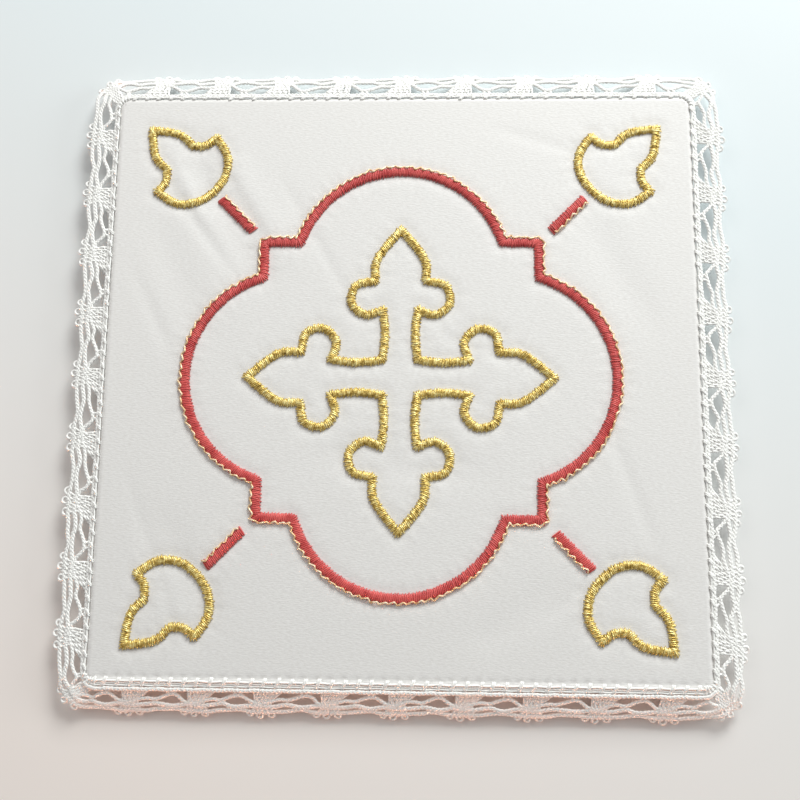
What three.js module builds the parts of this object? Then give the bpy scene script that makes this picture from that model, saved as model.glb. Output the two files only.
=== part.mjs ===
// A chalice pall: a stiff square covered in white cloth, with a narrow cotton lace sewn
// round its edge and a satin-stitch ornament on its face. It lies flat, face up.
// Millimetres, +Z up, +Y towards the far edge. The origin is under the middle of the whole
// pall, on the surface that it lies on.

import * as THREE from "three";

// The cloth square
const CLOTH_HALF = 75;
const CLOTH_THICKNESS = 5;
const CLOTH_CORNER_RADIUS = 3;
const SHOULDER_RADIUS = 1.5;
const SHOULDER_STEPS = 3;
const UNDERSIDE_CHAMFER = 0.7;
const FACE_CROWN = 0.3;

// Cells of the face's grid: a few across each rounded corner, the rest even
const CORNER_CELLS = 2;
const STRAIGHT_CELLS = 28;
const CELLS = STRAIGHT_CELLS + 2 * CORNER_CELLS;

// Soft creases pressed into the face: a straight run from one point to another, sunk by its
// depth in the middle (a negative depth is a ridge) and nearly level one width away
const CREASES = [
  { fromX: -59, fromY: 67, toX: -36, toY: 26, depth: 0.3, width: 5 },
  { fromX: -49, fromY: 62, toX: -27, toY: 30, depth: -0.2, width: 5 },
  { fromX: -66, fromY: 44, toX: -48, toY: 8, depth: 0.2, width: 5 },
  { fromX: -20, fromY: -20, toX: 22, toY: -24, depth: 0.2, width: 6 },
  { fromX: -60, fromY: -34, toX: -44, toY: -62, depth: 0.2, width: 6 },
  { fromX: 46, fromY: 44, toX: 63, toY: 12, depth: 0.2, width: 6 },
  { fromX: 18, fromY: -66, toX: 40, toY: -50, depth: 0.2, width: 6 },
];

// The lace: one strip, with its heading along the cloth's edge, and one repeat of its
// pattern gathered into each corner
const LACE_THICKNESS = 1;
const LACE_REPEAT = 16;
const REPEATS_A_SIDE = 9;
const LACE_REACH = 8;
const HEADING_GAP = 0.5;
const HEADING_HEIGHT = 4.3;
const HEADING_RADIUS = CLOTH_CORNER_RADIUS + HEADING_GAP;
const CORNER_CENTRE = CLOTH_HALF - CLOTH_CORNER_RADIUS;
const SIDE_RUN = (REPEATS_A_SIDE + 1) * LACE_REPEAT;

// Slope of the lace on each side, in degrees below level, at its heading and at its rim
const DROOP = {
  near: { heading: 22, rim: 33 },
  far: { heading: 10, rim: 42 },
  left: { heading: 0, rim: 10 },
  right: { heading: 2, rim: 14 },
};
const RUFFLE_HEIGHT = 0.5;
const CORNER_RUFFLE_HEIGHT = 1.2;

// How far the braids wander from their even pattern
const BRAID_UNEVENNESS = 0.08;

// The rim of one repeat, measured from the middle of its dense block: three loops on the
// block, then the outer braid of the openwork up to the next repeat
const LACE_RIM = [
  { along: -4.6, out: 6.3 },
  { along: -4.1, out: 6.7 },
  { along: -3.5, out: 7.6 },
  { along: -2.4, out: 7.1 },
  { along: -1.6, out: 7.2 },
  { along: -0.8, out: 8 },
  { along: 0.1, out: 7.2 },
  { along: 1.3, out: 7.1 },
  { along: 2.2, out: 7.8 },
  { along: 3, out: 6.8 },
  { along: 4.6, out: 6.5 },
  { along: 8.6, out: 6.1 },
];

// The gaps of one repeat: two along the heading, with a braid in V between them, the
// diamond under it, and a slit between the two braids of the rim
const LACE_GAPS = [
  [
    { along: 5.4, out: 0.9 },
    { along: 8.9, out: 0.9 },
    { along: 9.1, out: 1.2 },
    { along: 6, out: 2.35 },
    { along: 5.4, out: 2.2 },
  ],
  [
    { along: 11.3, out: 0.9 },
    { along: 14.3, out: 0.9 },
    { along: 14.4, out: 2.5 },
    { along: 13.3, out: 2.75 },
    { along: 11.4, out: 1.2 },
  ],
  [
    { along: 7.6, out: 3.2 },
    { along: 9.7, out: 2.05 },
    { along: 11, out: 2.05 },
    { along: 12.5, out: 3.4 },
    { along: 10, out: 4.05 },
  ],
  [
    { along: 3.6, out: 5 },
    { along: 6.2, out: 4.5 },
    { along: 7.9, out: 4.9 },
    { along: 4.6, out: 5.4 },
  ],
];

// The ornament: a red quatrefoil round a gold cross, and a gold leaf on a red stem in each
// corner, all bands of satin stitch that stand a little proud of the face
const STITCH_GAP = 0.3;
const RED_BAND = { width: 2.5, height: 0.7 };
const GOLD_BAND = { width: 2.3, height: 0.7 };
const PATH_STEP = 3.4;
const SHARPEST_MITRE = 2;

const LOBE_OFFSET = 27;
const LOBE_RADIUS = 27;
const BARB_REACH = 35;

// Half an arm of the cross, from the crook beside it to its tip
const CROSS_HALF_ARM = [
  { across: 4.4, along: 4.4, sharp: true },
  { across: 3.8, along: 11 },
  { across: 4.4, along: 17.4, sharp: true },
  { across: 8.8, along: 16 },
  { across: 12.4, along: 19 },
  { across: 11.4, along: 23.6 },
  { across: 6.4, along: 24.8, sharp: true },
  { across: 6.2, along: 30 },
  { across: 0, along: 38.5, sharp: true },
];

// Half a leaf, from its foot to its tip, and where the feet and the stems lie on the
// diagonals of the square
const LEAF_HALF = [
  { across: 0, along: 0, sharp: true },
  { across: 4.6, along: 0.8 },
  { across: 9, along: 4.4 },
  { across: 10.6, along: 10.4, sharp: true },
  { across: 7.2, along: 10.8 },
  { across: 4.6, along: 13, sharp: true },
  { across: 4.4, along: 17.6 },
  { across: 0, along: 24, sharp: true },
];
const LEAF_FOOT = 69;
const STEM_START = 54;
const STEM_END = 66;

const WHITE_CLOTH = new THREE.MeshStandardMaterial({ color: "#e9e7e3", roughness: 0.75 });
const WHITE_COTTON = new THREE.MeshStandardMaterial({ color: "#f3f0e8", roughness: 0.9 });
const RED_THREAD = new THREE.MeshStandardMaterial({ color: "#c4353b", roughness: 0.45 });
const GOLD_THREAD = new THREE.MeshStandardMaterial({
  color: "#c8a23c",
  roughness: 0.35,
  metalness: 0.6,
});

// A point turned about the middle of the square
function turned(x, y, angle) {
  const cos = Math.cos(angle);
  const sin = Math.sin(angle);
  return { x: x * cos - y * sin, y: x * sin + y * cos };
}

// How deep the creases sink the face at a point
function creaseDepth(x, y) {
  let depth = 0;
  for (const crease of CREASES) {
    const runX = crease.toX - crease.fromX;
    const runY = crease.toY - crease.fromY;
    const length = Math.hypot(runX, runY);
    const along = ((x - crease.fromX) * runX + (y - crease.fromY) * runY) / length ** 2;
    const across = ((x - crease.fromX) * runY - (y - crease.fromY) * runX) / length;
    const beyondMiddle = (2 * along - 1) ** 4;
    depth += crease.depth * Math.exp(-beyondMiddle - (across / crease.width) ** 2);
  }
  return depth;
}

// Height of the cloth's face: slightly crowned, creased, and level at its rim
function faceHeight(x, y) {
  const rim = CLOTH_HALF - SHOULDER_RADIUS;
  const crownX = Math.max(1 - (x / rim) ** 2, 0);
  const crownY = Math.max(1 - (y / rim) ** 2, 0);
  const crown = crownX * crownY;
  return CLOTH_THICKNESS + FACE_CROWN * crown - creaseDepth(x, y) * Math.min(4 * crown, 1);
}

function geometryOf(points, triangles) {
  const geometry = new THREE.BufferGeometry();
  geometry.setAttribute("position", new THREE.Float32BufferAttribute(points.flat(), 3));
  geometry.setIndex(triangles.flat());
  geometry.computeVertexNormals();
  return geometry;
}

// Distance from the middle of a side to a line of the face's grid, on a square whose rounded
// corners reach a given radius beyond their centres
function gridOffset(line, radius) {
  const corner = Math.max(CORNER_CELLS - line, line - CORNER_CELLS - STRAIGHT_CELLS, 0);
  const straight = THREE.MathUtils.clamp(line - CORNER_CELLS, 0, STRAIGHT_CELLS);
  const side = Math.sign(line - CELLS / 2);
  const offset = ((2 * straight) / STRAIGHT_CELLS - 1) * CORNER_CENTRE;
  return offset + (side * radius * corner) / CORNER_CELLS;
}

// A point of a ring round the square, anticlockwise from its near left corner, with CELLS
// steps to a side
function ringPoint(step, radius) {
  const side = Math.floor(step / CELLS);
  const along = gridOffset(step % CELLS, radius);
  const beyond = Math.sign(along) * Math.max(Math.abs(along) - CORNER_CENTRE, 0);
  const turn = ((beyond / radius) * Math.PI) / 4;
  const x = along - beyond + radius * Math.sin(turn);
  const y = -CORNER_CENTRE - radius * Math.cos(turn);
  return turned(x, y, (side * Math.PI) / 2);
}

// The radii and heights of the rings from the underside up to the rim of the face
function squareRings() {
  const rings = [
    { radius: CLOTH_CORNER_RADIUS - UNDERSIDE_CHAMFER, height: 0 },
    { radius: CLOTH_CORNER_RADIUS, height: UNDERSIDE_CHAMFER },
  ];
  for (let i = 0; i <= SHOULDER_STEPS; i++) {
    const turn = ((i / SHOULDER_STEPS) * Math.PI) / 2;
    rings.push({
      radius: CLOTH_CORNER_RADIUS - SHOULDER_RADIUS * (1 - Math.cos(turn)),
      height: CLOTH_THICKNESS - SHOULDER_RADIUS * (1 - Math.sin(turn)),
    });
  }
  return rings;
}

// The cloth-covered square: a flat underside, rings up its side and over its shoulder, and
// a grid for its face
function clothSquare() {
  const steps = 4 * CELLS;
  const rings = squareRings();
  const points = [];
  const triangles = [];
  rings.forEach(({ radius, height }, level) => {
    for (let step = 0; step < steps; step++) {
      const { x, y } = ringPoint(step, radius);
      points.push([x, y, height]);
      if (level === 0) continue;
      const here = level * steps + step;
      const next = level * steps + ((step + 1) % steps);
      triangles.push([here - steps, next - steps, next], [here - steps, next, here]);
    }
  });

  const underside = points.push([0, 0, 0]) - 1;
  for (let step = 0; step < steps; step++) {
    triangles.push([underside, (step + 1) % steps, step]);
  }

  // The grid takes its outermost points from the last ring
  const rim = (rings.length - 1) * steps;
  const rimRadius = rings.at(-1).radius;
  const grid = [];
  for (let row = 0; row <= CELLS; row++) {
    grid.push([]);
    for (let column = 0; column <= CELLS; column++) {
      if (row === 0) grid[row].push(rim + column);
      else if (column === CELLS) grid[row].push(rim + CELLS + row);
      else if (row === CELLS) grid[row].push(rim + 3 * CELLS - column);
      else if (column === 0) grid[row].push(rim + 4 * CELLS - row);
      else {
        const x = gridOffset(column, rimRadius);
        const y = gridOffset(row, rimRadius);
        grid[row].push(points.push([x, y, faceHeight(x, y)]) - 1);
      }
    }
  }
  for (let row = 0; row < CELLS; row++) {
    for (let column = 0; column < CELLS; column++) {
      const [nearLeft, nearRight] = grid[row].slice(column, column + 2);
      const [farLeft, farRight] = grid[row + 1].slice(column, column + 2);
      triangles.push([nearLeft, nearRight, farRight], [nearLeft, farRight, farLeft]);
    }
  }
  return geometryOf(points, triangles);
}

// Plan position of a point of the lace before it droops. It is given by its run along the
// strip, from the middle of the near left corner, and its distance out from the heading.
function lacePlan(run, out) {
  const onStrip = THREE.MathUtils.euclideanModulo(run, 4 * SIDE_RUN);
  const side = Math.floor(onStrip / SIDE_RUN);
  const local = onStrip - side * SIDE_RUN;
  const gather = LACE_REPEAT / 2;
  const straight = SIDE_RUN - LACE_REPEAT;
  const atStart = Math.max(gather - local, 0);
  const atEnd = Math.max(local - gather - straight, 0);
  const turn = (((atEnd - atStart) / gather) * Math.PI) / 4;
  const share = THREE.MathUtils.clamp((local - gather) / straight, 0, 1);
  const reach = HEADING_RADIUS + out;
  const x = (2 * share - 1) * CORNER_CENTRE + reach * Math.sin(turn);
  const y = -CORNER_CENTRE - reach * Math.cos(turn);
  const point = turned(x, y, (side * Math.PI) / 2);
  return new THREE.Vector2(point.x, point.y);
}

function gapPoint(run, out) {
  return lacePlan(run, out + BRAID_UNEVENNESS * Math.sin(2.3 * run));
}

// The height that a ruffle adds to the lace: waves along the sides, a fold at each corner
function ruffle(x, y, outX, outY, out) {
  const corner = 4 * outX ** 2 * outY ** 2;
  const wave = 0.5 + 0.5 * Math.sin(x / 9.5 + Math.sin(y / 13)) * Math.cos(y / 11);
  const fold = 0.5 + 0.5 * Math.cos(6 * Math.atan2(outY, outX) + 0.6);
  const height = RUFFLE_HEIGHT * wave * (1 - corner) + CORNER_RUFFLE_HEIGHT * fold * corner;
  return height * (out / LACE_REACH) ** 1.5;
}

// Bends a point of the flat lace down from the heading, along an arc that steepens towards
// the rim. The layer is its distance above the middle of the lace's thickness.
function droop(x, y, layer) {
  const beyondX = Math.sign(x) * Math.max(Math.abs(x) - CORNER_CENTRE, 0);
  const beyondY = Math.sign(y) * Math.max(Math.abs(y) - CORNER_CENTRE, 0);
  const distance = Math.hypot(beyondX, beyondY);
  const outX = beyondX / distance;
  const outY = beyondY / distance;
  const out = distance - HEADING_RADIUS;

  const sideX = outX < 0 ? DROOP.left : DROOP.right;
  const sideY = outY < 0 ? DROOP.near : DROOP.far;
  const heading = sideX.heading * outX ** 2 + sideY.heading * outY ** 2;
  const rim = sideX.rim * outX ** 2 + sideY.rim * outY ** 2;
  const start = THREE.MathUtils.degToRad(heading);
  const bend = THREE.MathUtils.degToRad(rim - heading) / LACE_REACH;
  const angle = start + bend * out;

  const reach = (Math.sin(angle) - Math.sin(start)) / bend + layer * Math.sin(angle);
  const drop = (Math.cos(start) - Math.cos(angle)) / bend - layer * Math.cos(angle);
  const height = HEADING_HEIGHT - drop + ruffle(x, y, outX, outY, Math.max(out, 0));
  return [x + outX * (reach - out), y + outY * (reach - out), height];
}

// The lace as one ring: its rim, its heading and its gaps in plan, thickened, then drooped
function laceEdging() {
  const repeats = 4 * (REPEATS_A_SIDE + 1);
  const rim = [];
  const heading = [];
  const gaps = [];
  for (let repeat = 0; repeat < repeats; repeat++) {
    const start = repeat * LACE_REPEAT;
    const isCorner = repeat % (REPEATS_A_SIDE + 1) === 0;
    const headingSteps = isCorner ? [-8, -4, 0, 4] : [-8];
    rim.push(...LACE_RIM.map(({ along, out }) => lacePlan(start + along, out)));
    heading.push(...headingSteps.map((along) => lacePlan(start + along, 0)));
    for (const gap of LACE_GAPS) {
      gaps.push(gap.map(({ along, out }) => gapPoint(start + along, out)));
    }
  }
  const shape = new THREE.Shape(rim);
  shape.holes = [heading, ...gaps].map((points) => new THREE.Path(points));
  const geometry = new THREE.ExtrudeGeometry(shape, {
    depth: LACE_THICKNESS,
    bevelEnabled: false,
    curveSegments: 1,
  });
  const position = geometry.getAttribute("position");
  for (let i = 0; i < position.count; i++) {
    const layer = position.getZ(i) - LACE_THICKNESS / 2;
    position.setXYZ(i, ...droop(position.getX(i), position.getY(i), layer));
  }
  geometry.computeVertexNormals();
  return geometry;
}

// The corners of a symmetrical form, up one half and down its mirror image, set at a
// distance from the middle of the square and turned about it
function mirrored(half, distance, angle) {
  const otherHalf = half.slice(1, -1).reverse();
  const whole = [...half, ...otherHalf.map((knot) => ({ ...knot, across: -knot.across }))];
  return whole.map(({ across, along, sharp }) => ({
    ...turned(across, along + distance, angle),
    sharp,
  }));
}

// A closed line through knots: curved, but with a corner at each one marked sharp. The
// first knot is sharp.
function curvedLoop(knots) {
  const line = [];
  let stretch = [];
  for (const { x, y, sharp } of [...knots, knots[0]]) {
    stretch.push(new THREE.Vector3(x, y, 0));
    if (!sharp || stretch.length === 1) continue;
    const curve = new THREE.CatmullRomCurve3(stretch, false, "centripetal");
    const steps = Math.round(curve.getLength() / PATH_STEP);
    line.push(...curve.getSpacedPoints(steps).slice(0, -1));
    stretch = stretch.slice(-1);
  }
  return line;
}

// A band of satin stitch along a line: a low dome, mitred at its corners, that follows the
// face at the stitch gap. A closed band is a ring, and an open one has flat ends.
function satinBand(line, band, closed) {
  const section = [
    { across: -0.5, up: 0 },
    { across: -0.36, up: 0.7 },
    { across: 0, up: 1 },
    { across: 0.36, up: 0.7 },
    { across: 0.5, up: 0 },
  ];
  const points = [];
  const triangles = [];
  line.forEach((point, i) => {
    const before = closed || i > 0 ? line.at(i - 1) : point;
    const after = closed || i < line.length - 1 ? line[(i + 1) % line.length] : point;
    const stepIn = new THREE.Vector3().subVectors(point, before).normalize();
    const stepOut = new THREE.Vector3().subVectors(after, point).normalize();
    const direction = new THREE.Vector3().addVectors(stepIn, stepOut).normalize();
    const slant = Math.max(direction.dot(stepIn), direction.dot(stepOut));
    const width = band.width * Math.min(1 / slant, SHARPEST_MITRE);
    for (const { across, up } of section) {
      const x = point.x - direction.y * across * width;
      const y = point.y + direction.x * across * width;
      points.push([x, y, faceHeight(x, y) + STITCH_GAP + up * band.height]);
    }
  });
  const sides = section.length;
  const stretches = closed ? line.length : line.length - 1;
  for (let i = 0; i < stretches; i++) {
    const here = i * sides;
    const next = ((i + 1) % line.length) * sides;
    for (let side = 0; side < sides; side++) {
      const beside = (side + 1) % sides;
      triangles.push([here + side, next + side, next + beside]);
      triangles.push([here + side, next + beside, here + beside]);
    }
  }
  for (let side = 1; !closed && side < sides - 1; side++) {
    const end = stretches * sides;
    triangles.push([0, side, side + 1], [end, end + side + 1, end + side]);
  }
  return geometryOf(points, triangles);
}

// The quatrefoil's line: a round lobe on each axis, and a square barb between two lobes
function quatrefoilLine() {
  const lobeEnd = Math.acos((BARB_REACH - LOBE_OFFSET) / LOBE_RADIUS);
  const lobeSteps = Math.round((2 * lobeEnd * LOBE_RADIUS) / PATH_STEP);
  const line = [];
  for (let side = 0; side < 4; side++) {
    const quarter = (side * Math.PI) / 2;
    for (let i = 0; i <= lobeSteps; i++) {
      const turn = lobeEnd * ((2 * i) / lobeSteps - 1);
      const x = LOBE_OFFSET + LOBE_RADIUS * Math.cos(turn);
      const point = turned(x, LOBE_RADIUS * Math.sin(turn), quarter);
      line.push(new THREE.Vector3(point.x, point.y, 0));
    }
    const barb = turned(BARB_REACH, BARB_REACH, quarter);
    line.push(new THREE.Vector3(barb.x, barb.y, 0));
  }
  return line;
}

function crossLine() {
  const knots = [];
  for (let arm = 0; arm < 4; arm++) {
    knots.push(...mirrored(CROSS_HALF_ARM, 0, (arm * Math.PI) / 2));
  }
  return curvedLoop(knots);
}

function stemLine(angle) {
  return [STEM_START, (STEM_START + STEM_END) / 2, STEM_END].map((distance) => {
    const { x, y } = turned(0, distance, angle);
    return new THREE.Vector3(x, y, 0);
  });
}

function addPiece(group, name, geometry, material) {
  const piece = new THREE.Mesh(geometry, material);
  piece.name = name;
  group.add(piece);
}

function chalicePall() {
  const pall = new THREE.Group();
  addPiece(pall, "cloth_square", clothSquare(), WHITE_CLOTH);
  addPiece(pall, "lace_edging", laceEdging(), WHITE_COTTON);

  const quatrefoil = satinBand(quatrefoilLine(), RED_BAND, true);
  addPiece(pall, "quatrefoil_stitching", quatrefoil, RED_THREAD);
  const cross = satinBand(crossLine(), GOLD_BAND, true);
  addPiece(pall, "cross_stitching", cross, GOLD_THREAD);
  for (let corner = 1; corner <= 4; corner++) {
    const angle = ((2 * corner - 1) * Math.PI) / 4;
    const leafLine = curvedLoop(mirrored(LEAF_HALF, LEAF_FOOT, angle));
    const leaf = satinBand(leafLine, GOLD_BAND, true);
    const stem = satinBand(stemLine(angle), RED_BAND, false);
    addPiece(pall, `leaf_stitching_${corner}`, leaf, GOLD_THREAD);
    addPiece(pall, `stem_stitching_${corner}`, stem, RED_THREAD);
  }

  // The origin goes under the middle of the whole, on the surface that it lies on
  const box = new THREE.Box3().setFromObject(pall);
  const middle = box.getCenter(new THREE.Vector3());
  pall.position.set(-middle.x, -middle.y, -box.min.z);
  return pall;
}

export default chalicePall();
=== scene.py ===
# The looks of a chalice pall: fine cloth, lace of real threads, stitches, finishes, floor,
# light and camera. Sizes are in millimetres up to the making of each mesh, in the frame of
# the cloth square: its middle on the surface that it lies on, +X right, +Y away, +Z up.

import math

import bpy
import numpy as np
from mathutils import Matrix, Vector


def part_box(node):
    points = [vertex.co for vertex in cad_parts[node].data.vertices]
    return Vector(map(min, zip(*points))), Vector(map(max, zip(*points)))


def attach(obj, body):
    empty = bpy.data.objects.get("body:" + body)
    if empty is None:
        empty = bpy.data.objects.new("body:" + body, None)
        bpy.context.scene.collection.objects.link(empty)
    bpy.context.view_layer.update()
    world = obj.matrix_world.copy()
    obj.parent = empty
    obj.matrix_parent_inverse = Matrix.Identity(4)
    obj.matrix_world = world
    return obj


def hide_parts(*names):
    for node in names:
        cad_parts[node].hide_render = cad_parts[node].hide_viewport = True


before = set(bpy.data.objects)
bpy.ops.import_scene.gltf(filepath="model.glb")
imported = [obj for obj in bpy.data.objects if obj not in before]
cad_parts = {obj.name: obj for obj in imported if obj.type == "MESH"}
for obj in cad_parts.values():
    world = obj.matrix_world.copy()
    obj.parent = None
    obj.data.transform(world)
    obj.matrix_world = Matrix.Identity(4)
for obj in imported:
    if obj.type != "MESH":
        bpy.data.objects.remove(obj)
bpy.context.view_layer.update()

MM = 0.001
TAU = 2 * math.pi
square_low, square_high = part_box("cloth_square")
square_middle = (square_low + square_high) / 2
ORIGIN = Vector((square_middle.x, square_middle.y, square_low.z))

# The cloth square
CLOTH_HALF = (square_high.x - square_low.x) / 2 / MM
CLOTH_THICKNESS = 5
CLOTH_CORNER_RADIUS = 3
SHOULDER_RADIUS = 1.5
SHOULDER_STEPS = 6
UNDERSIDE_CHAMFER = 0.7
UNDERSIDE_BEVEL = 0.2
SIDE_RING_HEIGHT = 1.9
FACE_CROWN = 0.3
CORNER_CELLS = 5
STRAIGHT_CELLS = 230
CELLS = STRAIGHT_CELLS + 2 * CORNER_CELLS
RING_POINTS = 4 * CELLS

# Soft creases of the face: from x, y to x, y, depth in the middle and width. The first
# seven are those of the solid, and the rest are finer.
CREASES = [
    {"start": (-59, 67), "end": (-36, 26), "depth": 0.3, "width": 4},
    {"start": (-49, 62), "end": (-27, 30), "depth": -0.2, "width": 4},
    {"start": (-66, 44), "end": (-48, 8), "depth": 0.2, "width": 5},
    {"start": (-20, -20), "end": (22, -24), "depth": 0.2, "width": 5},
    {"start": (-60, -34), "end": (-44, -62), "depth": 0.2, "width": 5},
    {"start": (46, 44), "end": (63, 12), "depth": 0.2, "width": 5},
    {"start": (18, -66), "end": (40, -50), "depth": 0.2, "width": 5},
    {"start": (-66, 58), "end": (-44, 28), "depth": 0.2, "width": 1.7},
    {"start": (-60, 58), "end": (-50, 40), "depth": -0.14, "width": 1.6},
    {"start": (-52, 63), "end": (-36, 38), "depth": 0.16, "width": 1.5},
    {"start": (-70, 30), "end": (-58, 6), "depth": 0.13, "width": 1.8},
    {"start": (-30, 50), "end": (-14, 22), "depth": 0.11, "width": 1.6},
    {"start": (-68, -24), "end": (-52, -66), "depth": 0.12, "width": 1.8},
    {"start": (10, 12), "end": (30, 2), "depth": 0.08, "width": 1.6},
    {"start": (50, -8), "end": (62, -42), "depth": 0.12, "width": 1.8},
    {"start": (36, -58), "end": (52, -44), "depth": 0.12, "width": 1.6},
    {"start": (24, 66), "end": (50, 58), "depth": 0.1, "width": 1.8},
]

# The lace
LACE_REPEAT = 16
REPEATS_A_SIDE = 9
LACE_REACH = 8
HEADING_GAP = 0.5
HEADING_HEIGHT = 4.3
HEADING_RADIUS = CLOTH_CORNER_RADIUS + HEADING_GAP
CORNER_CENTRE = CLOTH_HALF - CLOTH_CORNER_RADIUS
SIDE_RUN = (REPEATS_A_SIDE + 1) * LACE_REPEAT
GATHER = LACE_REPEAT / 2
STRAIGHT_RUN = SIDE_RUN - LACE_REPEAT
LACE_SEED = 40
SIDES = ["near", "right", "far", "left"]

# The ruffle of the rim: heights, the lengths of its waves and how it grows outwards
RUFFLE_HEIGHT = 0.5
RUFFLE_WAVE_X = 9.5
RUFFLE_WAVE_Y = 11
RUFFLE_SWAY = 13
RUFFLE_GROWTH = 1.5
CORNER_RUFFLE_HEIGHT = 1.2
CORNER_FOLDS = 6
CORNER_FOLD_SHIFT = 0.6

# Slope of the lace on each side, in degrees below level, at its heading and at its rim
DROOP = {
    "near": {"heading": 22, "rim": 33},
    "far": {"heading": 10, "rim": 42},
    "left": {"heading": 0, "rim": 10},
    "right": {"heading": 2, "rim": 14},
}
HEADING_SLOPE = {side: slopes["heading"] for side, slopes in DROOP.items()}
RIM_SLOPE = {side: slopes["rim"] for side, slopes in DROOP.items()}

# Plaits of three cotton strands
STRAND_RADIUS = 0.3
PLAIT_DEPTH = 0.13
PLAIT_PERIOD = 3
PLAIT_STEP = 0.33
ROUTE_STEP = 0.3
STRAND_WANDER = 0.08
WANDER_TURN = 0.35
UNEVEN_ALONG = 0.12
UNEVEN_OUT = 0.07
FOOTSIDE_OUT = 0.08
FOOTSIDE_STEP = 2.7
FOOTSIDE_WIDTH = 0.24
FOOTSIDE_LIFT = {"near": 0.45, "far": 0.1, "left": 0.1, "right": 0.1}

# The plaits of one repeat, from the middle of a dense block to that of the next, as points
# along and out: one that dips to the footside, and two of the rim with a slit between them
PLAITS = [
    {
        "width": 0.2,
        "lift": 0.12,
        "route": [
            (0, 3.9), (2.2, 3), (4.2, 2.6), (6, 2.8), (8, 2.1), (9.7, 1.5), (11, 1.55),
            (12.1, 2.4), (13.3, 3.4), (16, 3.9),
        ],
    },
    {
        "width": 0.32,
        "lift": 0.18,
        "route": [
            (0, 4.5), (2.5, 4.5), (4.5, 4.15), (6.2, 3.95), (8, 4.4), (10, 4.65), (12, 4.4),
            (13.6, 4.15), (16, 4.5),
        ],
    },
    {
        "width": 0.3,
        "lift": 0.1,
        "route": [
            (0, 5.9), (2.6, 6.1), (4.6, 5.95), (6.4, 5.75), (8.4, 5.5), (9.8, 5.5),
            (11.6, 5.8), (13.6, 6.1), (16, 5.9),
        ],
    },
]
APEX_LINKS = [[(9.4, 0.3), (9.5, 1), (9.8, 1.7)], [(10.7, 0.3), (10.7, 1), (10.9, 1.7)]]
APEX_LINK_WIDTH = 0.16

# The dense block: thick threads from the footside, where they fan out, through a narrow
# waist to the rim
BLOCK_THREADS = 9
BLOCK_TOP = 0.4
BLOCK_RIM = 6.8
WAIST_FROM = 3.6
WAIST_TO = 4.3
WAIST_HALF = 1.8
FAN_HALF = 3.4
FAN_SHIFT = 1.6
RIM_HALF = 2.9
RIM_SHIFT = -0.3
SPREAD_CURVE = 1.3
BLOCK_STEPS = 17
BLOCK_THREAD_RADIUS = 0.33
BLOCK_WAVE = 0.14
BLOCK_WAVE_TURNS = 1.1
BLOCK_SWAY = 0.1
BLOCK_ROUNDING = 0.35
WAIST_SWELL = 0.12
WAIST_REACH = 1.2

# The finer threads woven across a dense block, as places out
CROSS_THREADS = (1.2, 2, 3.1, 4.7, 5.5, 6.3)
CROSS_STEPS = 15
CROSS_THREAD_RADIUS = 0.18
CROSS_SHARE = 1.05
CROSS_BOW = 0.25
CROSS_LIFT = 0.12
CROSS_WAVE_TURNS = 4
CROSS_UNEVENNESS = 0.1

# The three loops on the rim of a dense block: places along and out, and the way they lean
LOOPS = [(-3.2, 6.55, -0.6), (-0.9, 7.1, -0.1), (1.9, 6.85, 0.5)]
LOOP_RADIUS = 0.72
LOOP_CORD_RADIUS = 0.35
LOOP_STEPS = 13
LOOP_SIZES = (0.85, 1.1)
LOOP_STRETCH = 1.1
LOOP_LEAN = 0.15
LOOP_WAVE = 0.1

# The overcast seam between the cloth and the lace, and how it draws the cloth in
SEAM_PITCH = 3.2
SEAM_SLANT = 0.95
SEAM_THREAD_RADIUS = 0.28
SEAM_LINE_RADIUS = 0.25
SEAM_END_OUT = -0.3
SEAM_SEED = 7
SEAM_STEPS = 10
SEAM_UNEVENNESS = 0.12
SEAM_SLANT_UNEVENNESS = 0.15
SEAM_STRANDS = (-0.2, 0.2)
SEAM_INNER_DIP = 0.3
SEAM_OUTER_DIP = 0.5
SEAM_INSET = {"near": 1.9, "far": 0.7, "left": 0.35, "right": 0.5}
SEAM_GROOVE_DEPTH = {"near": 0.24, "far": 0.1, "left": 0.08, "right": 0.08}
SEAM_GROOVE_SHIFT = 0.1
SEAM_GROOVE_REACH = 0.7
SEAM_PULL_DEPTH = 0.16
SEAM_PULL_HEIGHT = 4
SEAM_PULL_REACH = 1.2
SEAM_RISE = 0.62

# Lines of thread along the seam: how far in, their steps, how they wander, and how deep they
# lie under the stitches and past their ends
SEAM_LINES = (0.1, 0.6, 1.15)
SEAM_LINE_STEP = 0.8
SEAM_LINE_WANDER = 0.1
SEAM_LINE_ROOM = 0.2
SEAM_LINE_DEPTH = 0.12
SEAM_LINE_SUNK = 0.6

# Satin stitch, and how it puckers the cloth beside it
STITCH_PITCH = 0.45
RED_WIDTH = 2.3
GOLD_WIDTH = 1.95
STITCH_HEIGHT = 0.6
STITCH_RADIUS = 0.24
LONG_STITCH = 0.24
GOLD_LOOSENESS = 2.0
STITCH_STEPS = 9
STITCH_SIDES = 6
STITCH_FLATTEN = 0.75
STITCH_TAPER = 0.4
STITCH_SINK = 0.12
STITCH_UNEVENNESS = 0.06
LEAN_UNEVENNESS = 0.12
LONGEST_AT_CORNERS = 0.72
PUCKER_DEPTH = 0.16
PUCKER_REACH = 1.6
FOLD_DEPTH = 0.4 * PUCKER_DEPTH
FOLD_REACH = 2.2 * PUCKER_REACH

# The bed under the stitches: its section as shares of the width and heights, its steps, and
# how far it is pulled in at the ends of an open line
BED_STEP = 1.0
BED_INSET = 0.7
BED_SECTION = [
    (-0.42, -0.3), (-0.36, 0.2), (-0.2, 0.4), (0.2, 0.4), (0.36, 0.2), (0.42, -0.3),
]

# The height of a stitch at the ends of an open line, as shares of the others
END_STITCH = 0.35
NEXT_STITCH = 0.75

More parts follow.
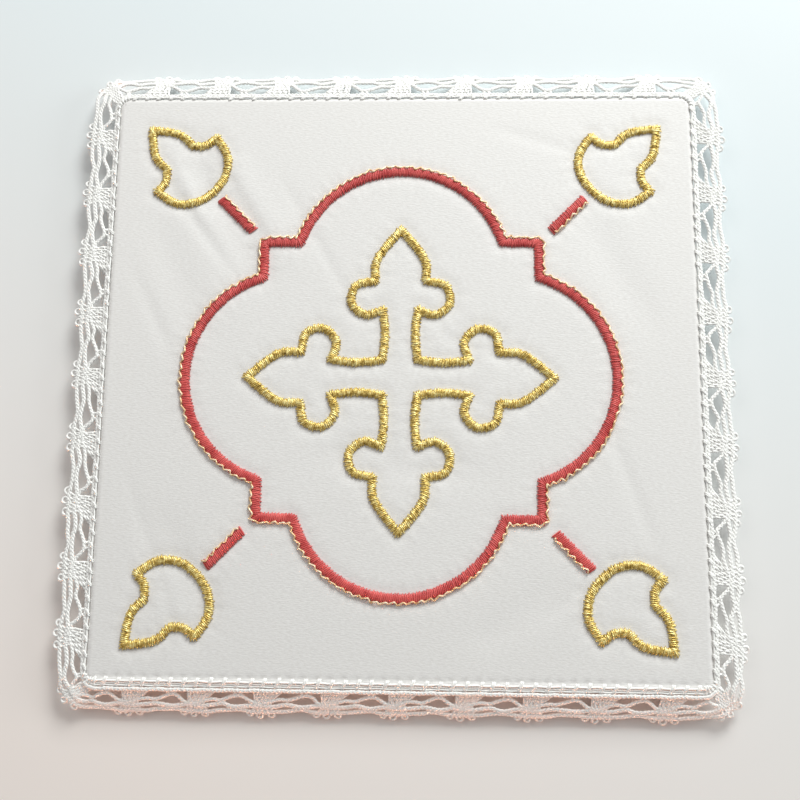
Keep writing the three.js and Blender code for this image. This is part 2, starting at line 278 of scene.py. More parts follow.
# The gold zigzag: its inner and outer points across and above the band, and its unevenness
ZIGZAG_PITCH = 2.1
ZIGZAG_OUTER = 1.5
ZIGZAG_INNER = 0.85
ZIGZAG_INNER_RISE = 0.74
ZIGZAG_OUTER_RISE = 0.2
ZIGZAG_INNER_SHIFT = 0.3
ZIGZAG_OUTER_SHIFT = -0.1
ZIGZAG_UNEVENNESS = 0.1
ZIGZAG_SHAKE = 0.08
ZIGZAG_STEP = 0.3
ZIGZAG_RADIUS = 0.23

# The seeds of the red bands, the zigzags and the gold bands, each counted on for its lines
RED_SEED = 20
ZIGZAG_SEED = 30
GOLD_SEED = 50

# The course of the red band: four lobes, and a barb between each two
LOBE_OFFSET = 27
LOBE_RADIUS = 27
BARB_REACH = 35

# Half an arm of the cross and half a leaf: across, along, and whether it is a sharp corner
CROSS_HALF_ARM = [
    (4.4, 4.4, True),
    (3.8, 11, False),
    (4.4, 17.4, True),
    (8.8, 16, False),
    (12.4, 19, False),
    (11.4, 23.6, False),
    (6.4, 24.8, True),
    (6.2, 30, False),
    (0, 38.5, True),
]
LEAF_HALF = [
    (0, 0, True),
    (4.6, 0.8, False),
    (9, 4.4, False),
    (10.6, 10.4, True),
    (7.2, 10.8, False),
    (4.6, 13, True),
    (4.4, 17.6, False),
    (0, 24, True),
]
LEAF_FOOT = 69
STEM_START = 54
STEM_END = 66

# The camera: where it looks on the face, from how far, and its turn about that line
CAMERA_AZIMUTH = 10.96
CAMERA_ELEVATION = 80.88
CAMERA_ROLL = -10.49
CAMERA_DISTANCE = 223.5
CAMERA_TARGET = (0.11, -5.66, CLOTH_THICKNESS)
CAMERA_LENS = 40.5
SENSOR_WIDTH = 36

# The studio, in metres: the floor and its change of colour from near to far, which is painted
# light, warm near and cool far; the light all round; and the lamps as name, place, power in
# watts, width, height and colour
FLOOR_HALF = 3.0
FLOOR_DIRECTION = (1.2, 3.2, 0)
FLOOR_SHIFT = 0.5
# The floor's colour stops are painted light: a warm tint near and a cool tint far.
FLOOR_PAINTED_LIGHT_STOPS = [(0.1, (0.95, 0.868, 0.82)), (0.75, (0.775, 0.835, 0.855))]
WORLD_COLOR = (1, 0.975, 0.965, 1)
WORLD_STRENGTH = 0.27
LAMPS = [
    ("key_far_right", (0.27, 0.67, 0.44), 6.9, 0.36, 0.36, (0.97, 1, 0.985)),
    ("fill_left", (-0.72, 0.4, 0.8), 2, 0.6, 0.6, (1, 0.985, 0.965)),
    ("fill_right", (0.85, 0.15, 0.28), 2.2, 0.4, 0.3, (0.92, 1, 1)),
]

# A strip no higher than the lace, for what lay in front of it and threw back warm light. Its
# beam, in degrees, is so narrow that it leaves no bright patch on the floor.
WARM_LAMP = ("warm_near", (-0.1, -0.98, 0.0023), 0.095, 0.6, 0.004, (1, 0.4, 0.22))
WARM_SPREAD = 8


# Meshes

def mesh_object(name, points, faces, material):
    """A new smooth object from points in millimetres and faces as tuples of indices."""
    data = bpy.data.meshes.new(name)
    placed = np.asarray(points, float) * MM + np.array(ORIGIN)
    data.from_pydata(placed.tolist(), [], faces)
    data.polygons.foreach_set("use_smooth", [True] * len(data.polygons))
    data.materials.append(material)
    data.update()
    made = bpy.data.objects.new(name, data)
    bpy.context.scene.collection.objects.link(made)
    return made


def unit(vectors):
    """Vectors at a length of 1."""
    lengths = np.linalg.norm(vectors, axis=-1, keepdims=True)
    return vectors / np.maximum(lengths, 1e-9)


def tubes(paths, ups, radius, sides=5, flatten=1.0):
    """Closed tubes along many paths of equal length: arrays (tube, point, xyz). Flatten is
    their thickness along the up vectors, as a share of their width."""
    paths = np.asarray(paths, float)
    ups = np.broadcast_to(ups, paths.shape)
    count, steps, _ = paths.shape
    tangents = unit(np.gradient(paths, axis=1))
    across = unit(np.cross(tangents, ups))
    upward = np.cross(across, tangents)
    turns = TAU * (np.arange(sides) + 0.5) / sides
    width = np.broadcast_to(radius, (count, steps))[:, :, None, None]
    ring = (
        np.cos(turns)[None, None, :, None] * across[:, :, None, :]
        + flatten * np.sin(turns)[None, None, :, None] * upward[:, :, None, :]
    )
    points = (paths[:, :, None, :] + width * ring).reshape(-1, 3)

    ids = np.arange(count * steps * sides).reshape(count, steps, sides)
    beside = np.roll(ids, -1, axis=2)
    walls = np.stack([ids[:, :-1], beside[:, :-1], beside[:, 1:], ids[:, 1:]], axis=-1)
    faces = [tuple(face) for face in walls.reshape(-1, 4).tolist()]
    faces += [tuple(face) for face in ids[:, 0, ::-1].tolist()]
    faces += [tuple(face) for face in ids[:, -1].tolist()]
    return points, faces


def joined(parts):
    """Points and faces of several parts as one."""
    points, faces, start = [], [], 0
    for part_points, part_faces in parts:
        points.append(part_points)
        faces += [tuple(i + start for i in face) for face in part_faces]
        start += len(part_points)
    return np.concatenate(points), faces


def resampled(line, step, closed=False):
    """Points about a step apart along a line; a closed line doesn't repeat its first."""
    line = np.asarray(line, float)
    if closed:
        line = np.vstack([line, line[:1]])
    lengths = np.linalg.norm(np.diff(line, axis=0), axis=1)
    along = np.concatenate([[0], np.cumsum(lengths)])
    count = max(2, round(along[-1] / step))
    at = np.linspace(0, along[-1], count + 1)
    if closed:
        at = at[:-1]
    return np.stack([np.interp(at, along, line[:, k]) for k in range(line.shape[1])], axis=1)


def turned(points, angle):
    """Plan points turned about the middle of the square."""
    points = np.asarray(points, float)
    cos, sin = math.cos(angle), math.sin(angle)
    x, y = points[..., 0], points[..., 1]
    return np.stack([x * cos - y * sin, x * sin + y * cos], axis=-1)


# The lines of the ornament

def curve_through(knots, step=0.2):
    """A centripetal Catmull-Rom curve through a few plan points."""
    knots = np.asarray(knots, float)
    before = 2 * knots[0] - knots[1]
    after = 2 * knots[-1] - knots[-2]
    padded = np.vstack([before, knots, after])
    line = []
    for a, b, c, d in zip(padded, padded[1:], padded[2:], padded[3:]):
        gaps = [math.sqrt(np.linalg.norm(q - p)) for p, q in ((a, b), (b, c), (c, d))]
        start = (b - a) / gaps[0] - (c - a) / (gaps[0] + gaps[1]) + (c - b) / gaps[1]
        end = (c - b) / gaps[1] - (d - b) / (gaps[1] + gaps[2]) + (d - c) / gaps[2]
        start, end = start * gaps[1], end * gaps[1]
        count = max(2, round(np.linalg.norm(c - b) / step))
        for t in np.arange(count) / count:
            square, cube = t * t, t * t * t
            bend = (2 * b - 2 * c + start + end) * cube
            bow = (3 * c - 3 * b - 2 * start - end) * square
            line.append(b + start * t + bow + bend)
    line.append(knots[-1])
    return np.array(line)


def curved_loop(knots):
    """A closed line through (x, y, sharp) knots, with a corner at each sharp one."""
    line, stretch = [], []
    for x, y, sharp in [*knots, knots[0]]:
        stretch.append((x, y))
        if not sharp or len(stretch) == 1:
            continue
        line.append(curve_through(stretch)[:-1])
        stretch = stretch[-1:]
    return np.vstack(line)


def mirrored(half, distance, angle):
    """The knots up one half of a form and down its mirror image, set out and turned."""
    other = [(-across, along, sharp) for across, along, sharp in half[-2:0:-1]]
    whole = [*half, *other]
    places = turned([(across, along + distance) for across, along, _ in whole], angle)
    return [(x, y, sharp) for (x, y), (_, _, sharp) in zip(places, whole)]


def quatrefoil_line():
    """Four lobes with a barb between each two, as one closed line."""
    lobe_end = math.acos((BARB_REACH - LOBE_OFFSET) / LOBE_RADIUS)
    turns = np.linspace(-lobe_end, lobe_end, 200)
    lobe = np.stack([LOBE_OFFSET + LOBE_RADIUS * np.cos(turns), LOBE_RADIUS * np.sin(turns)], 1)
    quarter = np.vstack([lobe, [(BARB_REACH, BARB_REACH)]])
    return np.vstack([turned(quarter, side * TAU / 4) for side in range(4)])


def cross_line():
    """The outline of the cross, from half of one arm."""
    knots = []
    for arm in range(4):
        knots += mirrored(CROSS_HALF_ARM, 0, arm * TAU / 4)
    return curved_loop(knots)


def leaf_line(angle):
    """The outline of the leaf in the corner at an angle."""
    return curved_loop(mirrored(LEAF_HALF, LEAF_FOOT, angle))


def stem_line(angle):
    """The stem between the quatrefoil and a leaf."""
    return turned([(0, STEM_START), (0, STEM_END)], angle)


CORNER_ANGLES = [(2 * corner - 1) * TAU / 8 for corner in range(1, 5)]
RED_LINES = [(quatrefoil_line(), True)] + [(stem_line(a), False) for a in CORNER_ANGLES]
GOLD_LINES = [(cross_line(), True)] + [(leaf_line(a), True) for a in CORNER_ANGLES]


# The face of the cloth

def crease_depth(x, y):
    """How deep the soft creases lie at plan points."""
    depth = 0
    for crease in CREASES:
        (x0, y0), (x1, y1) = crease["start"], crease["end"]
        run_x, run_y = x1 - x0, y1 - y0
        length = math.hypot(run_x, run_y)
        along = ((x - x0) * run_x + (y - y0) * run_y) / length**2
        across = ((x - x0) * run_y - (y - y0) * run_x) / length
        middle = (2 * along - 1) ** 4
        depth = depth + crease["depth"] * np.exp(-middle - (across / crease["width"]) ** 2)
    return depth


def weighed_by_side(table, out_x, out_y):
    """A value given for each side, blended round the corners by the outward direction."""
    on_x = np.where(out_x < 0, table["left"], table["right"])
    on_y = np.where(out_y < 0, table["near"], table["far"])
    return on_x * out_x**2 + on_y * out_y**2


def outward(x, y):
    """The direction out of the square at plan points, and the distance in from its edge."""
    beyond_x = np.sign(x) * np.maximum(np.abs(x) - CORNER_CENTRE, 0)
    beyond_y = np.sign(y) * np.maximum(np.abs(y) - CORNER_CENTRE, 0)
    beyond = np.hypot(beyond_x, beyond_y)
    inner = np.maximum(np.abs(x), np.abs(y))
    inset = np.where(beyond > 0, CLOTH_CORNER_RADIUS - beyond, CLOTH_HALF - inner)
    nearest_x = np.where(np.abs(x) >= np.abs(y), np.sign(x), 0)
    nearest_y = np.where(np.abs(x) >= np.abs(y), 0, np.sign(y))
    out_x = np.where(beyond > 0, beyond_x / np.maximum(beyond, 1e-9), nearest_x)
    out_y = np.where(beyond > 0, beyond_y / np.maximum(beyond, 1e-9), nearest_y)
    return out_x, out_y, inset


def seam_groove(x, y):
    """How deep the seam's stitches pull the face down along their inner ends."""
    out_x, out_y, inset = outward(x, y)
    depth = weighed_by_side(SEAM_GROOVE_DEPTH, out_x, out_y)
    place = weighed_by_side(SEAM_INSET, out_x, out_y)
    along = -out_y * x + out_x * y
    dimples = 0.5 + 0.5 * np.cos(TAU * along / SEAM_PITCH)
    beside = (inset - place - SEAM_GROOVE_SHIFT) / SEAM_GROOVE_REACH
    return depth * dimples * np.exp(-(beside**2))


def face_height(x, y):
    """Height of the cloth's face, away from the ornament's puckers."""
    x, y = np.asarray(x, float), np.asarray(y, float)
    rim = CLOTH_HALF - SHOULDER_RADIUS
    crown = np.maximum(1 - (x / rim) ** 2, 0) * np.maximum(1 - (y / rim) ** 2, 0)
    creases = crease_depth(x, y) * np.minimum(4 * crown, 1)
    return CLOTH_THICKNESS + FACE_CROWN * crown - creases - seam_groove(x, y)


def nearest_on_lines(x, y, lines, step=0.6):
    """Distance from plan points to the nearest of some lines, and the run along it there."""
    best = np.full(x.shape, 1e9)
    run = np.zeros(x.shape)
    for line, closed in lines:
        samples = resampled(line, step, closed)
        low, high = samples.min(0) - 6, samples.max(0) + 6
        inside = (x > low[0]) & (x < high[0]) & (y > low[1]) & (y < high[1])
        places = np.flatnonzero(inside)
        for part in np.array_split(places, max(1, len(places) // 4000)):
            away = np.hypot(
                x[part][:, None] - samples[None, :, 0], y[part][:, None] - samples[None, :, 1]
            )
            nearest = away.argmin(1)
            distance = away[np.arange(len(part)), nearest]
            closer = distance < best[part]
            best[part[closer]] = distance[closer]
            run[part[closer]] = nearest[closer] * step
    return best, run


def pucker(x, y):
    """How deep the dense stitching draws the cloth in beside it, in uneven small folds."""
    away, run = nearest_on_lines(x, y, RED_LINES + GOLD_LINES)
    edge = (RED_WIDTH + GOLD_WIDTH) / 4
    beyond = np.maximum(away - edge, 0)
    trough = np.exp(-((beyond / PUCKER_REACH) ** 2))
    folds = np.sin(run * 1.9 + 2 * np.sin(run * 0.31)) * np.sin(run * 0.7 + 1)
    reach = np.exp(-((beyond / FOLD_REACH) ** 2)) * np.minimum(beyond, 1)
    return PUCKER_DEPTH * trough + FOLD_DEPTH * folds * reach


# The cloth

def grid_offset(lines, radius):
    """Distance from the middle of a side to lines of the face's grid."""
    lines = np.asarray(lines)
    corner = np.maximum(CORNER_CELLS - lines, lines - CORNER_CELLS - STRAIGHT_CELLS)
    corner = np.maximum(corner, 0)
    straight = np.clip(lines - CORNER_CELLS, 0, STRAIGHT_CELLS)
    offset = (2 * straight / STRAIGHT_CELLS - 1) * CORNER_CENTRE
    return offset + np.sign(lines - CELLS / 2) * radius * corner / CORNER_CELLS


def ring_points(radius):
    """A ring round the square, anticlockwise from its near left corner."""
    along = grid_offset(np.arange(CELLS), radius)
    beyond = np.sign(along) * np.maximum(np.abs(along) - CORNER_CENTRE, 0)
    turn = beyond / radius * TAU / 8
    x = along - beyond + radius * np.sin(turn)
    y = -CORNER_CENTRE - radius * np.cos(turn)
    side = np.stack([x, y], axis=1)
    return np.vstack([turned(side, corner * TAU / 4) for corner in range(4)])


def ring_sections():
    """Radius and height of each ring from the underside to the rim of the face."""
    sections = [
        (CLOTH_CORNER_RADIUS - UNDERSIDE_CHAMFER, 0),
        (CLOTH_CORNER_RADIUS - UNDERSIDE_BEVEL, UNDERSIDE_CHAMFER / 3),
        (CLOTH_CORNER_RADIUS, UNDERSIDE_CHAMFER),
        (CLOTH_CORNER_RADIUS, SIDE_RING_HEIGHT),
    ]
    for step in range(SHOULDER_STEPS + 1):
        turn = step / SHOULDER_STEPS * TAU / 4
        radius = CLOTH_CORNER_RADIUS - SHOULDER_RADIUS * (1 - math.cos(turn))
        sections.append((radius, CLOTH_THICKNESS - SHOULDER_RADIUS * (1 - math.sin(turn))))
    return sections


def pulled_in(points, level_height):
    """Draws the side of the cloth in a little under each stitch of the seam."""
    out_x, out_y, _ = outward(points[:, 0], points[:, 1])
    along = -out_y * points[:, 0] + out_x * points[:, 1]
    share = math.exp(-(((level_height - SEAM_PULL_HEIGHT) / SEAM_PULL_REACH) ** 2))
    draw = SEAM_PULL_DEPTH * share * (0.5 + 0.5 * np.cos(TAU * along / SEAM_PITCH))
    return points - draw[:, None] * np.stack([out_x, out_y], axis=1)


def cloth_side(sections):
    """Points and faces of the rings up the side of the cloth, and of its underside."""
    points, faces = [], []
    for level, (radius, height) in enumerate(sections):
        ring = pulled_in(ring_points(radius), height)
        points += [(x, y, height) for x, y in ring.tolist()]
        if level == 0:
            continue
        for step in range(RING_POINTS):
            here = level * RING_POINTS + step
            following = level * RING_POINTS + (step + 1) % RING_POINTS
            faces.append((here - RING_POINTS, following - RING_POINTS, following, here))

    underside = len(points)
    points.append((0, 0, 0))
    faces += [(underside, (step + 1) % RING_POINTS, step) for step in range(RING_POINTS)]
    return points, faces


def cloth_face(radius, rim, first):
    """Points and faces of the face's grid. Its own points are counted from first, and its
    outermost ones are those of the last ring, counted from rim."""
    offsets = grid_offset(np.arange(1, CELLS), radius)
    x, y = (part.ravel() for part in np.meshgrid(offsets, offsets))
    heights = face_height(x, y) - pucker(x, y)
    points = np.stack([x, y, heights], axis=1).tolist()
    grid = np.zeros((CELLS + 1, CELLS + 1), int)
    grid[1:-1, 1:-1] = first + np.arange((CELLS - 1) ** 2).reshape(CELLS - 1, CELLS - 1)
    count = np.arange(CELLS)
    grid[0, :-1] = rim + count
    grid[:-1, CELLS] = rim + CELLS + count
    grid[CELLS, 1:] = (rim + 2 * CELLS + count)[::-1]
    grid[1:, 0] = (rim + 3 * CELLS + count)[::-1]
    squares = np.stack([grid[:-1, :-1], grid[:-1, 1:], grid[1:, 1:], grid[1:, :-1]], axis=-1)
    return points, [tuple(face) for face in squares.reshape(-1, 4).tolist()]


def cloth_cover(material):
    """The whole cloth: its underside, its side and its face."""
    sections = ring_sections()
    points, faces = cloth_side(sections)
    rim = (len(sections) - 1) * RING_POINTS
    face_points, face_faces = cloth_face(sections[-1][0], rim, len(points))
    points += face_points
    faces += face_faces
    return mesh_object("cloth_cover", points, faces, material)


# The lace's own frame: run along the strip, out from its heading, and layer above its middle

def strip_frame(run):
    """For places along the strip, the plan point that its heading goes round and the
    direction out. The run starts at the middle of the near left corner and goes
    anticlockwise; half a repeat is gathered on each side of a corner."""
    on_strip = np.mod(run, 4 * SIDE_RUN)
    side = np.floor(on_strip / SIDE_RUN)
    local = on_strip - side * SIDE_RUN
    at_start = np.maximum(GATHER - local, 0)
    at_end = np.maximum(local - GATHER - STRAIGHT_RUN, 0)
    turn = (at_end - at_start) / GATHER * TAU / 8
    share = np.clip((local - GATHER) / STRAIGHT_RUN, 0, 1)
    quarter = side * TAU / 4
    base_x, base_y = (2 * share - 1) * CORNER_CENTRE, -CORNER_CENTRE
    centre_x = base_x * np.cos(quarter) - base_y * np.sin(quarter)
    centre_y = base_x * np.sin(quarter) + base_y * np.cos(quarter)
    return centre_x, centre_y, np.sin(turn + quarter), -np.cos(turn + quarter)


def lace_place(run, out, layer):
    """Places and up vectors of points of the drooping lace."""
    run, out, layer = np.broadcast_arrays(run, np.asarray(out, float), layer)
    centre_x, centre_y, out_x, out_y = strip_frame(run)
    start = np.radians(weighed_by_side(HEADING_SLOPE, out_x, out_y))
    bend = (np.radians(weighed_by_side(RIM_SLOPE, out_x, out_y)) - start) / LACE_REACH
    hanging = np.maximum(out, 0)
    angle = start + bend * hanging
    level = (np.sin(angle) - np.sin(start)) / bend + np.minimum(out, 0)
    drop = (np.cos(start) - np.cos(angle)) / bend
    reach = HEADING_RADIUS + level + layer * np.sin(angle)

    flat_x = centre_x + out_x * (HEADING_RADIUS + out)
    flat_y = centre_y + out_y * (HEADING_RADIUS + out)
    lift = ruffle(flat_x, flat_y, out_x, out_y, hanging)
    height = HEADING_HEIGHT - drop + lift + layer * np.cos(angle)
    places = np.stack([centre_x + out_x * reach, centre_y + out_y * reach, height], axis=-1)
    ups = np.stack([out_x * np.sin(angle), out_y * np.sin(angle), np.cos(angle)], axis=-1)
    return places, ups


def ruffle(x, y, out_x, out_y, out):
    """How high the lace lifts at plan points, more towards its rim and at the corners."""
    corner = 4 * out_x**2 * out_y**2
    sway = np.sin(y / RUFFLE_SWAY)
    wave = 0.5 + 0.5 * np.sin(x / RUFFLE_WAVE_X + sway) * np.cos(y / RUFFLE_WAVE_Y)
    turn = np.arctan2(out_y, out_x)
    fold = 0.5 + 0.5 * np.cos(CORNER_FOLDS * turn + CORNER_FOLD_SHIFT)
    height = RUFFLE_HEIGHT * wave * (1 - corner) + CORNER_RUFFLE_HEIGHT * fold * corner
    return height * (out / LACE_REACH) ** RUFFLE_GROWTH


def plait(route, rng, width, lift=0.0):
    """Three strands plaited along a route of (run, out) points."""
    line = resampled(curve_through(route, ROUTE_STEP), PLAIT_STEP)
    tangents = unit(np.gradient(line, axis=0))
    across = np.stack([-tangents[:, 1], tangents[:, 0]], axis=1)
    steps = np.arange(len(line))
    wander = STRAND_WANDER * np.sin(steps * WANDER_TURN + rng.uniform(0, TAU))
    phase = steps * PLAIT_STEP / PLAIT_PERIOD * TAU + rng.uniform(0, TAU)
    strands, ups = [], []
    for strand in range(3):
        turn = phase + strand * TAU / 3
        aside = line + across * (width * np.sin(turn) + wander)[:, None]
        layer = lift + PLAIT_DEPTH * np.sin(2 * turn)
        places, up = lace_place(aside[:, 0], aside[:, 1], layer)
        strands.append(places)
        ups.append(up)
    return tubes(np.array(strands), np.array(ups), STRAND_RADIUS)


def block_spread(outs):
    """Middle and half width of a dense block along the strip, at places out."""
    fan = np.clip((WAIST_FROM - outs) / (WAIST_FROM - BLOCK_TOP), 0, 1) ** SPREAD_CURVE
    flare = np.clip((outs - WAIST_TO) / (BLOCK_RIM - WAIST_TO), 0, 1) ** SPREAD_CURVE
    middle = FAN_SHIFT * fan + RIM_SHIFT * flare
    half = WAIST_HALF + (FAN_HALF - WAIST_HALF) * fan + (RIM_HALF - WAIST_HALF) * flare
    return middle, half


def block_threads(start, rng):
    """The thick threads of a dense block, from its top to the rim."""
    outs = np.linspace(BLOCK_TOP, BLOCK_RIM, BLOCK_STEPS)
    middle, half = block_spread(outs)
    waist = np.exp(-(((outs - WAIST_TO) / WAIST_REACH) ** 2))
    paths, ups = [], []
    for index, share in enumerate(np.linspace(-1, 1, BLOCK_THREADS)):
        sway = BLOCK_SWAY * rng.normal() * np.sin(outs + rng.uniform(0, TAU))
        wave = BLOCK_WAVE * np.cos(np.pi * (outs * BLOCK_WAVE_TURNS + index))
        over = wave + WAIST_SWELL * waist
        rounded = BLOCK_ROUNDING * share**2 * (outs - BLOCK_TOP) / BLOCK_RIM
        places, up = lace_place(start + middle + half * share + sway, outs - rounded, over)
        paths.append(places)
        ups.append(up)
    return tubes(np.array(paths), np.array(ups), BLOCK_THREAD_RADIUS)


def cross_threads(start, rng):
    """The finer threads woven across those of a dense block."""
    shares = np.linspace(-CROSS_SHARE, CROSS_SHARE, CROSS_STEPS)
    paths, ups = [], []
    for index, out in enumerate(CROSS_THREADS):
        middle, half = block_spread(out)
        bow = CROSS_BOW * (out - WAIST_TO) / WAIST_TO * (1 - shares**2)
        wave = BLOCK_WAVE * np.cos(np.pi * (CROSS_WAVE_TURNS * shares + index))
        half = half + CROSS_UNEVENNESS * rng.normal()
        places, up = lace_place(start + middle + half * shares, out + bow, CROSS_LIFT + wave)
        paths.append(places)
        ups.append(up)
    return tubes(np.array(paths), np.array(ups), CROSS_THREAD_RADIUS)


def rim_loops(start, rng):
    """The three small loops on the rim of a dense block."""
    turns = np.linspace(-0.32 * np.pi, 1.32 * np.pi, LOOP_STEPS)
    paths, ups = [], []
    for along, out, lean in LOOPS:
        radius = LOOP_RADIUS * rng.uniform(*LOOP_SIZES)
        angle = lean + rng.uniform(-LOOP_LEAN, LOOP_LEAN)
        across, reach = radius * np.cos(turns), LOOP_STRETCH * radius * np.sin(turns)
        runs = start + along + across * math.cos(angle) + reach * math.sin(angle)
        outs = out - across * math.sin(angle) + reach * math.cos(angle)
        places, up = lace_place(runs, outs, LOOP_WAVE * np.sin(turns * 2))
        paths.append(places)
        ups.append(up)
    return tubes(np.array(paths), np.array(ups), LOOP_CORD_RADIUS)


def shaken(route, start, rng):
    """A repeat's route moved to its place, a little unevenly but for its two ends."""
    moved = [(start + along, out) for along, out in route]
    for index in range(1, len(route) - 1):
        along, out = moved[index]
        along += UNEVEN_ALONG * rng.normal()
        out += UNEVEN_OUT * rng.normal()
        moved[index] = (along, out)
    return moved


def lace_side(side, material):
    """The lace of one side, from the dense block at its first corner to the next corner."""
    rng = np.random.default_rng(LACE_SEED + side)
    first = side * SIDE_RUN
    runs = np.arange(-1, SIDE_RUN + 1.1, FOOTSIDE_STEP)
    footside = [(first + run, FOOTSIDE_OUT) for run in runs]
    parts = [plait(footside, rng, FOOTSIDE_WIDTH, FOOTSIDE_LIFT[SIDES[side]])]
    for repeat in range(REPEATS_A_SIDE + 1):
        start = first + repeat * LACE_REPEAT
        parts.append(block_threads(start, rng))
        parts.append(cross_threads(start, rng))
        parts.append(rim_loops(start, rng))
        for link in APEX_LINKS:
            route = [(start + along, out) for along, out in link]
            parts.append(plait(route, rng, APEX_LINK_WIDTH))
        for kind in PLAITS:
            route = shaken(kind["route"], start, rng)
            parts.append(plait(route, rng, kind["width"], kind["lift"]))
    points, faces = joined(parts)
    return mesh_object(f"lace_{SIDES[side]}", points, faces, material)


# The seam between the cloth and the lace

def seam_height(places):
    """Height at which a seam thread lies over the face, the shoulder and the footside."""
    x, y = places[..., 0], places[..., 1]
    _, _, inset = outward(x, y)
    past_rim = np.clip(SHOULDER_RADIUS - inset, 0, SHOULDER_RADIUS)
    fall = SHOULDER_RADIUS - np.sqrt(SHOULDER_RADIUS**2 - past_rim**2)
    cloth = face_height(x, y) - fall
    return np.maximum(cloth + SEAM_THREAD_RADIUS, HEADING_HEIGHT + SEAM_RISE)


def overcast_threads():
    """The slanting stitches over the edge of the cloth, of two strands each."""
    rng = np.random.default_rng(SEAM_SEED)
    share = np.linspace(0, 1, SEAM_STEPS)
    paths = []
    for stitch in range(round(4 * SIDE_RUN / SEAM_PITCH)):
        run = stitch * SEAM_PITCH + rng.normal() * SEAM_UNEVENNESS
        probe, _ = lace_place(run, 0, 0)
        out_x, out_y, _ = outward(*(probe[:2][:, None]))
        inset = weighed_by_side(SEAM_INSET, out_x, out_y)[0]
        inset = inset + rng.normal() * SEAM_UNEVENNESS
        slant = SEAM_SLANT + rng.normal() * SEAM_SLANT_UNEVENNESS
        for strand in SEAM_STRANDS:
            outs = -HEADING_GAP - inset + share * (inset + HEADING_GAP + SEAM_END_OUT)
            runs = run + strand + slant * (1 - share)
            places, _ = lace_place(runs, outs, 0)
            places[:, 2] = seam_height(places)
            places[0, 2] -= SEAM_INNER_DIP
            places[-1, 2] -= SEAM_OUTER_DIP
            paths.append(places)
    return tubes(np.array(paths), (0, 0, 1), SEAM_THREAD_RADIUS)


def seam_line(inset):
    """A line of thread along the seam, so far in from the edge of the cloth."""
    runs = np.arange(0, 4 * SIDE_RUN + 1, SEAM_LINE_STEP)
    wander = SEAM_LINE_WANDER * np.sin(runs * 1.1) * np.sin(runs * 0.23)
    places, _ = lace_place(runs, -HEADING_GAP - inset + wander, 0)
    out_x, out_y, _ = outward(places[:, 0], places[:, 1])
    room = weighed_by_side(SEAM_INSET, out_x, out_y) - inset
    places[:, 2] = seam_height(places) - np.where(
        room > SEAM_LINE_ROOM, SEAM_LINE_DEPTH, SEAM_LINE_SUNK
    )
    return tubes(places[None], (0, 0, 1), SEAM_LINE_RADIUS)


def seam_stitches(material):
    """The overcast seam and the threads that run along it."""
    parts = [overcast_threads()] + [seam_line(inset) for inset in SEAM_LINES]
    points, faces = joined(parts)
    return mesh_object("seam_stitches", points, faces, material)


# Satin stitch

def across_line(line, closed, spread=3):
    """Unit vectors across a line, smoothed over a few points so that stitches fan round
    its corners, and how much longer a stitch is there."""
    if closed:
        steps = np.roll(line, -1, axis=0) - np.roll(line, 1, axis=0)
    else:
        steps = np.gradient(line, axis=0)
    raw = unit(steps)
    smooth = np.zeros_like(raw)
    for shift in range(-spread, spread + 1):
        moved = np.roll(raw, shift, axis=0)
        if not closed:
            ids = np.clip(np.arange(len(raw)) - shift, 0, len(raw) - 1)
            moved = raw[ids]
        smooth += moved
    smooth = unit(smooth)
    longer = 1 / np.clip((smooth * raw).sum(1), LONGEST_AT_CORNERS, 1)
    return np.stack([-smooth[:, 1], smooth[:, 0]], axis=1), longer


def satin_stitches(line, closed, width, looseness, rng):
    """One arched thread for each stitch across a line. Their looseness is 1 for even rows."""
    centres = resampled(line, STITCH_PITCH, closed)
    across, longer = across_line(centres, closed)
    share = np.linspace(-1, 1, STITCH_STEPS)
    uneven = rng.uniform(-0.1, 0.12, (len(centres), 2))
    uneven[::2] += LONG_STITCH * rng.uniform(0.4, 1, (len(uneven[::2]), 2))
    ends = width / 2 * longer[:, None] + uneven
    reach = np.where(share < 0, ends[:, :1], ends[:, 1:])
    tangent = np.stack([across[:, 1], -across[:, 0]], axis=1)
    lean_share = 0.5 + LEAN_UNEVENNESS * looseness * rng.normal(size=len(centres))
    lean = STITCH_PITCH * lean_share
    plan = (
        centres[:, None, :]
        + across[:, None, :] * (share * reach)[:, :, None]
        + tangent[:, None, :] * (lean[:, None] * share)[:, :, None]
    )
    arch = (1 - np.abs(share) ** 3) ** 0.7
    varied = STITCH_UNEVENNESS * looseness * rng.normal(size=(len(centres), 1))
    rise = STITCH_HEIGHT * (1 + varied)
    if not closed:
        rise[[0, -1]] *= END_STITCH
        rise[[1, -2]] *= NEXT_STITCH
    height = rise * arch - STITCH_SINK
    z = face_height(plan[..., 0], plan[..., 1]) + height
    paths = np.concatenate([plan, z[..., None]], axis=2)
    thick = STITCH_RADIUS * (1 + STITCH_UNEVENNESS * rng.normal(size=(len(centres), 1)))
    radius = thick * (1 - STITCH_TAPER * share**4)
    return tubes(paths, (0, 0, 1), radius, sides=STITCH_SIDES, flatten=STITCH_FLATTEN)


